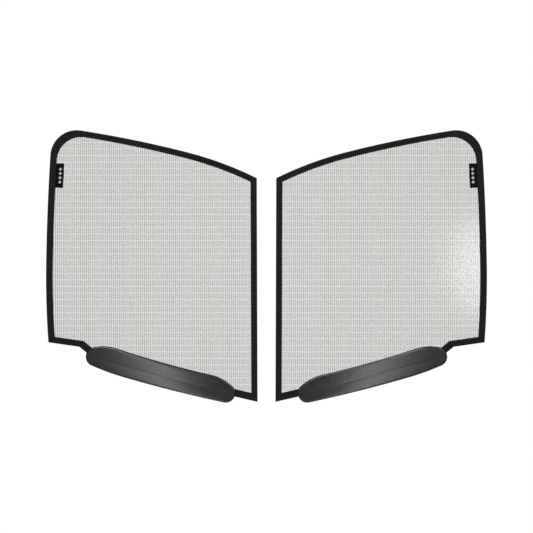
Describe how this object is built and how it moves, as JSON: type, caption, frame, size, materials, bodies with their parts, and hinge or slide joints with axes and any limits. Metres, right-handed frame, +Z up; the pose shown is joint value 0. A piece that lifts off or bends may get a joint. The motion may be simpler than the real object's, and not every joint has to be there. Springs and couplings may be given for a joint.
{
  "type": "windshield screen",
  "caption": "Handed pair of see-through mesh screens, bound all round with tape, each with a padded fold-over flap on its lower hem and a sewn-in label.",
  "frame": {"origin": "middle of the pair's box: midway between the two screens, at half their height", "axes": "+X from the left screen to the right one, +Z up, the padded fronts facing -Y"},
  "size_m": [0.9254, 0.0109, 0.5712],
  "materials": {
    "mesh_fabric": "matt open weave",
    "binding_tape": "matt ribbed tape",
    "spring_wire": "drawn",
    "ferrule_metal": "crimped",
    "pad_vinyl": "satin grained",
    "pad_foam": "open-cell foam",
    "pad_backing": "brushed knit",
    "stitch_thread": "twisted thread",
    "label_weave": "satin weave",
    "hook_tape": "nylon hooks"
  },
  "bodies": {
    "screen_left": {"mesh_panel_left": "mesh_fabric", "binding_top_and_side_left": "binding_tape", "binding_inner_edge_left": "binding_tape", "binding_lower_edge_left": "binding_tape", "edge_wire_left": "spring_wire", "wire_ferrule_left": "ferrule_metal", "pad_upper_cover_left": "pad_vinyl", "pad_upper_foam_left": "pad_foam", "pad_upper_backing_left": "pad_backing", "pad_stitching_left": "stitch_thread", "hook_tape_top_left": "hook_tape", "hook_tape_side_left": "hook_tape", "hook_tape_inner_left": "hook_tape", "hook_tape_hem_left": "hook_tape"},
    "pad_flap_left": {"pad_flap_cover_left": "pad_vinyl", "pad_flap_foam_left": "pad_foam", "pad_flap_backing_left": "pad_backing"},
    "label_left": {"label_tab_left": "label_weave"},
    "screen_right": {"mesh_panel_right": "mesh_fabric", "binding_top_and_side_right": "binding_tape", "binding_inner_edge_right": "binding_tape", "binding_lower_edge_right": "binding_tape", "edge_wire_right": "spring_wire", "wire_ferrule_right": "ferrule_metal", "pad_upper_cover_right": "pad_vinyl", "pad_upper_foam_right": "pad_foam", "pad_upper_backing_right": "pad_backing", "pad_stitching_right": "stitch_thread", "hook_tape_top_right": "hook_tape", "hook_tape_side_right": "hook_tape", "hook_tape_inner_right": "hook_tape", "hook_tape_hem_right": "hook_tape"},
    "pad_flap_right": {"pad_flap_cover_right": "pad_vinyl", "pad_flap_foam_right": "pad_foam", "pad_flap_backing_right": "pad_backing"},
    "label_right": {"label_tab_right": "label_weave"}
  },
  "joints": [
    {"name": "right_screen_apart", "type": "slide", "parent": "screen_left", "child": "screen_right", "axis": [1, 0, 0], "range_m": [0, 0.4]},
    {"name": "left_flap_fold", "type": "hinge", "parent": "screen_left", "child": "pad_flap_left", "pos_m": [-0.3623, 0.0019, -0.1933], "axis": [0.9652, 0, -0.2614], "range_deg": [0, 165], "stiffness_Nm_per_rad": 0.04, "springref_deg": -3.44},
    {"name": "right_flap_fold", "type": "hinge", "parent": "screen_right", "child": "pad_flap_right", "pos_m": [0.3623, 0.0019, -0.1933], "axis": [0.9652, 0, 0.2614], "range_deg": [0, 165], "stiffness_Nm_per_rad": 0.04, "springref_deg": -3.44},
    {"name": "left_label_turn", "type": "hinge", "parent": "screen_left", "child": "label_left", "pos_m": [-0.44245, -0.00195, 0.1912], "axis": [-0.0548, 0, -0.9985], "range_deg": [0, 170], "stiffness_Nm_per_rad": 0.0005, "springref_deg": -2.86},
    {"name": "right_label_turn", "type": "hinge", "parent": "screen_right", "child": "label_right", "pos_m": [0.44245, -0.00195, 0.1912], "axis": [-0.0548, 0, 0.9985], "range_deg": [0, 170], "stiffness_Nm_per_rad": 0.0005, "springref_deg": -2.86}
  ]
}
